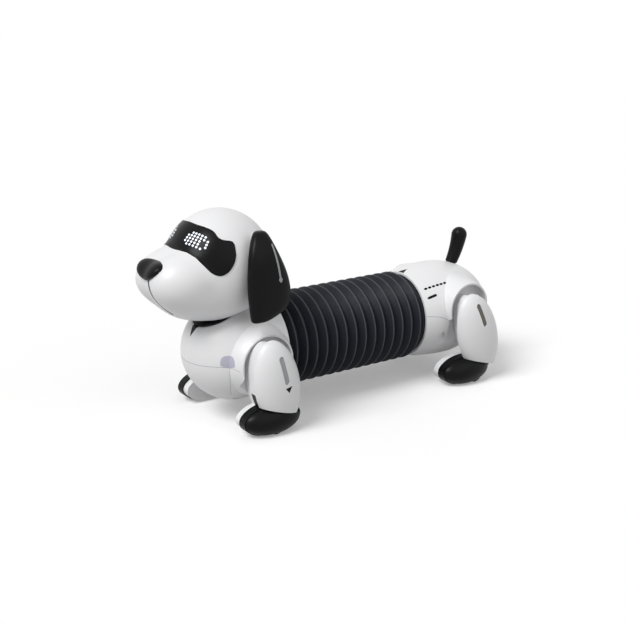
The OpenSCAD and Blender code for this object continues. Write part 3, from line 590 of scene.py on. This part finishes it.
def ear_flap():
    """Hanging ear: level slices from top to bottom that follow the skull.

    A slice is an ellipse whose cosine and sine are raised to one power, which
    squares it a little.
    """
    a = np.linspace(0, np.pi, 111)[1:-1]
    z, front, rear, taper, y = ear_slices((1 - np.cos(a[:, None])) / 2)
    b = np.arange(128)[None, :] * 2 * np.pi / 128
    c, g = np.cos(b), np.sin(b)
    x = (front + rear) / 2 + (front - rear) / 2 * taper * np.sign(c) * np.abs(c) ** EAR_ROUND
    y = y + EAR_T / 2 * taper * np.sign(g) * np.abs(g) ** EAR_ROUND
    rings = np.stack([x, y, z + 0 * x], -1)
    z, front, rear, taper, y = ear_slices(np.array([[0.0], [1.0]]))
    ends = np.hstack([(front + rear) / 2, y, z])
    return rings, ends


for word, side in SIDES.items():
    rings, ends = ear_flap()
    make(f"{word}_ear_flap_skin", [ring_skin(turned(rings, side), turned(ends, side))],
         f"{word}_ear_flap", black, [f"{word}_ear"])

EAR_LINE = [(96.6, 60, 164.3), (94.6, 60, 151.0), (92.0, 60, 136.8)]
EAR_MARK = [(94.8, 60, 136.0), (89.4, 60, 136.9), (91.0, 60, 131.2)]
EAR_LINE_W = 2.0


def mirrored(skin, side):
    """A skin as it is on the left, or its mirror image with its faces turned round."""
    points, quads, tris = skin
    return outwards(turned(points, side), quads, tris)


for word, side in SIDES.items():
    marks = [ribbon(EAR_LINE, on_ear, EAR_LINE_W),
             pad(softened(np.array(EAR_MARK), True), on_ear)]
    make(f"{word}_ear_line", [mirrored(m, side) for m in marks], f"{word}_ear_flap",
         pale_print_and_slot_shade)


def on_head(p, up):
    """Points pushed out from the head's middle to its skin, lifted by up."""
    d = unit(p - HEAD_C)
    return HEAD_C + d * (head_reach(d) + up)[..., None]


# Mouth line from the skull's middle: turn and height in degrees, width and lift
MOUTH = np.array([(1.5, -4), (3.6, -8), (5.2, -13), (6.5, -19), (8.0, -25), (10.2, -31)])
MOUTH_W, PRINT_LIFT = 3.4, 0.15
mouth = ribbon(face_point(MOUTH[:, 0], MOUTH[:, 1]), on_head, MOUTH_W, PRINT_LIFT)
make("mouth_line", [mouth], "head", black)


# Tail

TAIL_ROOT = np.array([-152.0, 0, 104.3])
TAIL_LEAN = math.radians(20)
TAIL_DIR = np.array([-math.sin(TAIL_LEAN), 0, math.cos(TAIL_LEAN)])
TAIL_P1 = TAIL_ROOT + np.array([-7.5, 0, 13.5])
TAIL_P2 = TAIL_ROOT + np.array([-10.0, 0, 27])
TAIL_ROOT_R, TAIL_TIP_R = 5.8, 7.7
TAIL_PIN_R, TAIL_PIN_L, TAIL_PIN_IN = 5.0, 17.0, 14
TAIL_SQUARE, TAIL_STEP = 0.05, 0.6


def tail_skin():
    """Round slices on a bent line that swell towards a round tip.

    The line is a curve with one control point. A narrow bell curve sets the
    first slices square to the pin and a small step off its foot.
    """
    t = np.concatenate([np.linspace(0, 1, 60), np.ones(24)])[:, None]
    turn = np.concatenate([np.zeros(60), np.linspace(0, np.pi / 2, 26)[1:-1]])[:, None]
    r = (TAIL_ROOT_R + (TAIL_TIP_R - TAIL_ROOT_R) * t) * np.cos(turn)
    middle = (1 - t) ** 2 * TAIL_ROOT + 2 * t * (1 - t) * TAIL_P1 + t * t * TAIL_P2
    way = unit((1 - t) * (TAIL_P1 - TAIL_ROOT) + t * (TAIL_P2 - TAIL_P1))
    square = np.exp(-((t / TAIL_SQUARE) ** 2))
    way = unit(way + (TAIL_DIR - way) * square)
    middle = middle + TAIL_TIP_R * np.sin(turn) * way + TAIL_STEP * square * TAIL_DIR
    side = np.stack([way[:, 2], 0 * way[:, 0], -way[:, 0]], -1)
    a = np.arange(72) * 2 * np.pi / 72
    rings = (middle[:, None] + r[:, None] * (
        np.cos(a)[None, :, None] * side[:, None]
        + np.sin(a)[None, :, None] * np.array([0, 1.0, 0])))
    ends = np.vstack([middle[0], TAIL_P2 + TAIL_TIP_R * way[-1]])
    return ring_skin(rings, ends)


tail_pin = rod(TAIL_ROOT - TAIL_PIN_IN * TAIL_DIR, TAIL_DIR, (0, 1, 0), TAIL_PIN_R, TAIL_PIN_L)
make("tail_moulding", [tail_skin(), tail_pin], "tail_piece", black,
     ["tail"])


# Bellows

AXIS_Z = 62.0
RIBS = 14
RIB_FRONT, RIB_BACK = 68.0, -83.5
CUFF_L, CUFF_R = 5.0, 38.6
RIDGE_R, ROOT_R, SKIN = 42.4, 36.8, 1.6
RIDGE_SOFT = 0.07
RIB_ROWS, TUBE_COLUMNS = 24, 144


def bellows_tube():
    """Soft tube turned about the long axis: straight flanks up to one crest per rib.

    Outside, the radius falls from crest to root with the distance from the
    crest, whose tip is rounded as a hyperbola; the inside follows one skin
    lower, and a straight cuff ends each side. Also gives each ring's height
    between root and crest.
    """
    p = np.linspace(0, RIBS, RIBS * RIB_ROWS + 1)
    x = RIB_FRONT + (RIB_BACK - RIB_FRONT) * p / RIBS
    off = np.abs(2 * (p % 1) - 1)
    soft = np.sqrt(off ** 2 + RIDGE_SOFT ** 2) - RIDGE_SOFT
    rise = 1 - soft / (np.sqrt(1 + RIDGE_SOFT ** 2) - RIDGE_SOFT)
    r = ROOT_R + (RIDGE_R - ROOT_R) * rise
    cuff = np.array([0, 0.15, 0.5, CUFF_L - 0.8, CUFF_L - 0.2, CUFF_L])
    cuff_r = CUFF_R - np.array([0.5, 0.15, 0, 0, 0.3, 1.2])
    out_x = np.concatenate([RIB_FRONT + CUFF_L - cuff, x[1:-1], RIB_BACK - CUFF_L + cuff[::-1]])
    out_r = np.concatenate([cuff_r, r[1:-1], cuff_r[::-1]])
    in_x = np.concatenate([[RIB_BACK - CUFF_L, RIB_BACK - SKIN], x[::-2],
                           [RIB_FRONT + SKIN, RIB_FRONT + CUFF_L]])
    in_r = np.concatenate([[CUFF_R - SKIN] * 2, r[::-2] - SKIN, [CUFF_R - SKIN] * 2])
    px, pr = np.concatenate([out_x, in_x]), np.concatenate([out_r, in_r])
    a = np.arange(TUBE_COLUMNS)[None, :] * 2 * np.pi / TUBE_COLUMNS
    rings = np.stack([
        px[:, None] + 0 * a, pr[:, None] * np.sin(a), AXIS_Z + pr[:, None] * np.cos(a)
    ], -1)
    height = np.zeros(len(px))
    height[len(cuff):len(cuff) + len(x) - 2] = rise[1:-1]
    return ring_skin(rings, loop=True), np.repeat(height, TUBE_COLUMNS)


# each ring's height places the painted highlight on the ribs' ridges
tube, height = bellows_tube()
bellows = make("bellows_skin", [tube], None, rubber, ["bellows"],
               sharp=75.0, crest_highlight=height)
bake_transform(bellows)


# Lines and prints on the body and the legs, and slot floors of painted shade

CHEST_R = 45.0
SHOULDER = (np.array([98.0, 0, 60]), np.array([37.0, 69, 37]))
RUMP_X, RUMP_R, RUMP_FALL, RUMP_BACK = -126.5, 46.5, 84.8, 61.0


def on_chest(p, up):
    """Points pushed out from the chest's middle to its ball or the shoulder's egg."""
    d = unit(p - CHEST_C)
    far = np.maximum(CHEST_R, reach(d, *SHOULDER, start=CHEST_C))
    return CHEST_C + d * (far + up)[..., None]


def on_rump(p, up):
    """Points pushed straight out from the long axis to the rump's skin."""
    x = p[..., 0] - RUMP_X
    r = RUMP_R * np.sqrt(1 - (x / np.where(x > 0, RUMP_FALL, RUMP_BACK)) ** 2) + up
    out = unit(p[..., 1:] - np.array([0, AXIS_Z]))
    return np.stack([p[..., 0] + 0 * r, r * out[..., 0], AXIS_Z + r * out[..., 1]], -1)


# Outline and lines on the left of the chest, pushed onto its skin as they are laid
PATCH = [(135.1, 32.4, 59.5), (134.9, 32.4, 65.9), (132.8, 33.7, 69.0), (129.2, 36.4, 69.9),
         (126.9, 39.6, 69.1), (126.6, 42.0, 65.8), (126.8, 42.5, 59.1)]
CHEST_SEAM = [(149, 0, 58.4), (145.3, 17.3, 58.7), (134.8, 32.7, 59.6), (129.2, 37.1, 59.1),
              (126.8, 43.0, 58.9), (124.6, 47.5, 57.1)]
FLANK_LINE = [(129.1, 37.5, 59.0), (127.0, 34.7, 45.1), (121.7, 26.7, 30.4)]


def dense(points, count=12):
    """Closed outline with more points along each side."""
    points = np.array(points, float)
    w = (np.arange(count) / count)[None, :, None]
    return (points[:, None] * (1 - w) + np.roll(points, -1, 0)[:, None] * w).reshape(-1, 3)


patch = pad(dense(softened(np.array(PATCH), True, 1), 8), on_chest)
make("chest_patches", [mirrored(patch, s) for s in SIDES.values()], "front_body",
     lavender)
SEAM_LINE, FLANK_THIN = (0.5, 0.06), (0.4, 0.05)
chest_lines = [ribbon(CHEST_SEAM, on_chest, *SEAM_LINE),
               ribbon(FLANK_LINE, on_chest, *FLANK_THIN)]
make("chest_lines", [mirrored(c, s) for c in chest_lines for s in SIDES.values()],
     "front_body", line)

RUMP_SEAM = [(-87.2, 41.0, 68.3), (-98.6, 43.6, 66.8), (-105.9, 45.0, 64.4),
             (-110.6, 46.0, 61.5)]
rump_seam = ribbon(RUMP_SEAM, on_rump, *SEAM_LINE)
make("rump_lines", [mirrored(rump_seam, s) for s in SIDES.values()], "rear_body",
     line)

BAR = np.array([(-92.3, 36.2, 84.5), (-100.7, 36.9, 86.4)])
DASHES = np.array([(-93.4, 30.2, 92.1), (-115.6, 32.1, 95.0)])
BAR_W, DASH_W, DASH_HALF, DASH_COUNT = 2.6, 2.4, 0.9, 6
make("rump_bar", [ribbon(BAR, on_rump, BAR_W, PRINT_LIFT)], "rear_body",
     black)
steps = np.linspace(0, 1, DASH_COUNT)[:, None] * (DASHES[1] - DASHES[0]) + DASHES[0]
half = unit(DASHES[1] - DASHES[0]) * DASH_HALF
make("rump_dashes",
     [ribbon([at - half, at + half], on_rump, DASH_W, PRINT_LIFT) for at in steps],
     "rear_body", black)

# Leg covers: middle, half sizes and lean of each egg
COVERS = {
    "front": ((95.5, 58.0, 44.0), (22.0, 14.0, 40.0), 11.0),
    "rear": ((-135.5, 58.0, 47.0), (23.5, 14.0, 42.5), 18.0),
}
# Slots in the covers: place along x and z, straight length, and colour of the floor, which is
# painted shade, brownish in the rear slots
SLOTS = {"front": (-3.2, 14.3, 20.0, pale_print_and_slot_shade), "rear": (-2.5, 22.0, 18.0, slot_shade_brown)}
SLOT_FLOOR_R, SLOT_DEPTH, SLOT_FLOOR_LIFT = 2.46, 1.0, 0.1
LEG_MARK = [(-0.1, 0, -0.7), (-7.1, 0, -0.9), (-3.0, 0, -5.7)]


def on_cover(end, inset=0.0):
    """Gives the way from a cover's own [x, 0, z] to its egg, lifted outwards."""
    middle, half, tilt = COVERS[end]
    half = np.array(half) - inset
    c, s = math.cos(math.radians(tilt)), math.sin(math.radians(tilt))

    def lay(p, up):
        x, z = p[..., 0], p[..., 2]
        y = half[1] * np.sqrt(1 - (x / half[0]) ** 2 - (z / half[2]) ** 2) + up
        return np.stack([x * c + z * s, y + 0 * x, z * c - x * s], -1) + middle

    return lay


for end in COVERS:
    x, z, length, tone = SLOTS[end]
    a = np.arange(64) * 2 * np.pi / 64
    stadium = np.stack([
        x + SLOT_FLOOR_R * np.cos(a), 0 * a,
        z + SLOT_FLOOR_R * np.sin(a) + np.sign(np.sin(a)) * length / 2
    ], -1)
    # a pad coloured as painted shade lies on each slot's floor
    slot_shade_pad = pad(dense(stadium, 6), on_cover(end, SLOT_DEPTH), SLOT_FLOOR_LIFT)
    mark = pad(dense(LEG_MARK), on_cover(end))
    for word, side in SIDES.items():
        make(f"{end}_{word}_painted_slot_shade", [mirrored(slot_shade_pad, side)], f"{end}_{word}_leg",
             tone)
        if end == "front":
            make(f"{end}_{word}_leg_mark", [mirrored(mark, side)], f"{end}_{word}_leg",
                 black)


# Camera, stage and lamps

CAMERA_AT = (0.57547, 0.78953, 0.36003)
CAMERA_DOWN, CAMERA_TURN, CAMERA_FIELD = 16.143, -125.271, 31.867
camera = bpy.data.objects.new("camera", bpy.data.cameras.new("camera"))
bpy.context.scene.collection.objects.link(camera)
camera.location = CAMERA_AT
camera.rotation_euler = (math.radians(90 - CAMERA_DOWN), 0, math.radians(CAMERA_TURN - 90))
camera.data.sensor_width = 36
camera.data.angle = math.radians(CAMERA_FIELD)
bpy.context.scene.camera = camera


def seen_directly(tree):
    """One for rays from the camera and for what gloss and glass show of the stage."""
    path = tree.nodes.new("ShaderNodeLightPath")
    total = path.outputs["Is Camera Ray"]
    for name in ("Is Glossy Ray", "Is Transmission Ray"):
        add = tree.nodes.new("ShaderNodeMath")
        add.operation = "MAXIMUM"
        tree.links.new(total, add.inputs[0])
        tree.links.new(path.outputs[name], add.inputs[1])
        total = add.outputs[0]
    return total


PAPER_BOUNCE, PAPER_SEEN, PAPER_GLOW = 0.50, 0.80, 0.24


def floor_paper():
    """Pale paper: plain grey for bounced light, paler and glowing where it is seen."""
    paper = finish("floor_paper", (PAPER_BOUNCE,) * 3, 0.9, tint=0.01, grain=0.02, scale=4.0,
                   shine=0.0)
    tree = paper.node_tree
    shader = tree.nodes["Principled BSDF"]
    direct = seen_directly(tree)
    tone = tree.nodes.new("ShaderNodeMix")
    tone.data_type = "RGBA"
    tree.links.new(direct, tone.inputs["Factor"])
    tree.links.new(shader.inputs["Base Color"].links[0].from_socket, tone.inputs["A"])
    tone.inputs["B"].default_value = (*(PAPER_SEEN,) * 3, 1)
    tree.links.new(tone.outputs["Result"], shader.inputs["Base Color"])
    shader.inputs["Emission Color"].default_value = (1, 1, 1, 1)
    glow = tree.nodes.new("ShaderNodeMath")
    glow.operation = "MULTIPLY"
    glow.inputs[1].default_value = PAPER_GLOW
    tree.links.new(direct, glow.inputs[0])
    tree.links.new(glow.outputs[0], shader.inputs["Emission Strength"])
    return paper


FLOOR_HALF = 9
floor_mesh = bpy.data.meshes.new("floor")
corners = [(x * FLOOR_HALF, y * FLOOR_HALF, 0) for x, y in ((-1, -1), (1, -1), (1, 1), (-1, 1))]
floor_mesh.from_pydata(corners, [], [(0, 1, 2, 3)])
floor_mesh.materials.append(floor_paper())
floor = bpy.data.objects.new("floor", floor_mesh)
bpy.context.scene.collection.objects.link(floor)


def sun(name, towards, strength, spread):
    """Even light from one side of the sky; the spread softens its shadows."""
    data = bpy.data.lights.new(name, "SUN")
    data.energy, data.angle = strength, math.radians(spread)
    lamp = bpy.data.objects.new(name, data)
    bpy.context.scene.collection.objects.link(lamp)
    x, y, z = towards
    lamp.rotation_euler = (math.atan2(math.hypot(x, y), z), 0, math.atan2(y, x) + math.pi / 2)


sun("key", towards=(0.84, 0.14, 1.0), strength=2.3, spread=30)
sun("fill", towards=(-0.2, 1.0, 0.7), strength=0.45, spread=60)

WORLD_LIGHT = 0.32
world = bpy.data.worlds.new("studio")
bpy.context.scene.world = world
world.use_nodes = True
nodes, links = world.node_tree.nodes, world.node_tree.links
nodes["Background"].inputs["Color"].default_value = (1, 1, 1, 1)
nodes["Background"].inputs["Strength"].default_value = WORLD_LIGHT
seen = nodes.new("ShaderNodeBackground")
seen.inputs["Color"].default_value = (1, 1, 1, 1)
pick = nodes.new("ShaderNodeMixShader")
links.new(seen_directly(world.node_tree), pick.inputs["Fac"])
links.new(nodes["Background"].outputs["Background"], pick.inputs[1])
links.new(seen.outputs["Background"], pick.inputs[2])
links.new(pick.outputs["Shader"], nodes["World Output"].inputs["Surface"])
bpy.context.scene.view_settings.view_transform = "Standard"
